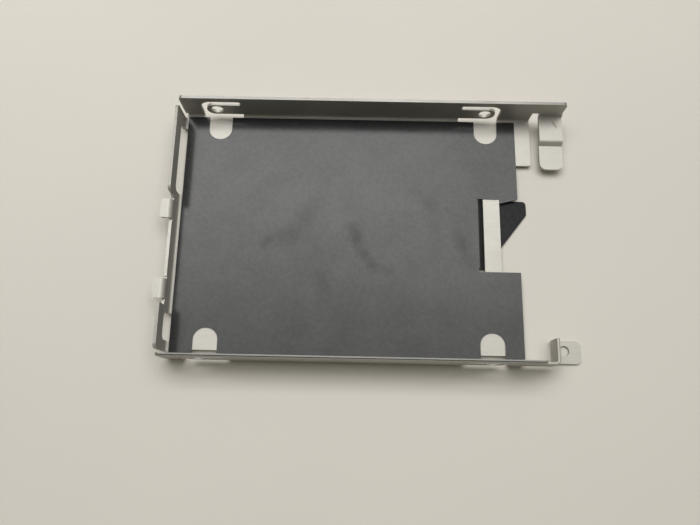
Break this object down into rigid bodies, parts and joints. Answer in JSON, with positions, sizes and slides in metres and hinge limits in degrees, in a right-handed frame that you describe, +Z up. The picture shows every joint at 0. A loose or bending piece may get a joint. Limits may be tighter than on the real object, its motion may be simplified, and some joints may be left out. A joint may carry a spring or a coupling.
{
  "type": "hard drive caddy",
  "caption": "Shallow folded sheet-steel tray that holds a laptop hard drive by sprung screw tongues, with a black insulating film on its floor and mounting ears at the open end.",
  "frame": {"origin": "middle of the bounding box, at the underside of the screw foot", "axes": "+X from the end wall with its hook tabs to the open end, +Y from the near wall to the far wall, +Z up out of the bay"},
  "size_m": [0.1138, 0.072, 0.0109],
  "materials": {
    "steel": "matt zinc-plated sheet",
    "film": "smooth black film with a soft sheen"
  },
  "bodies": {
    "root": {"tray": "steel", "insulating_film": "film"}
  },
  "joints": []
}
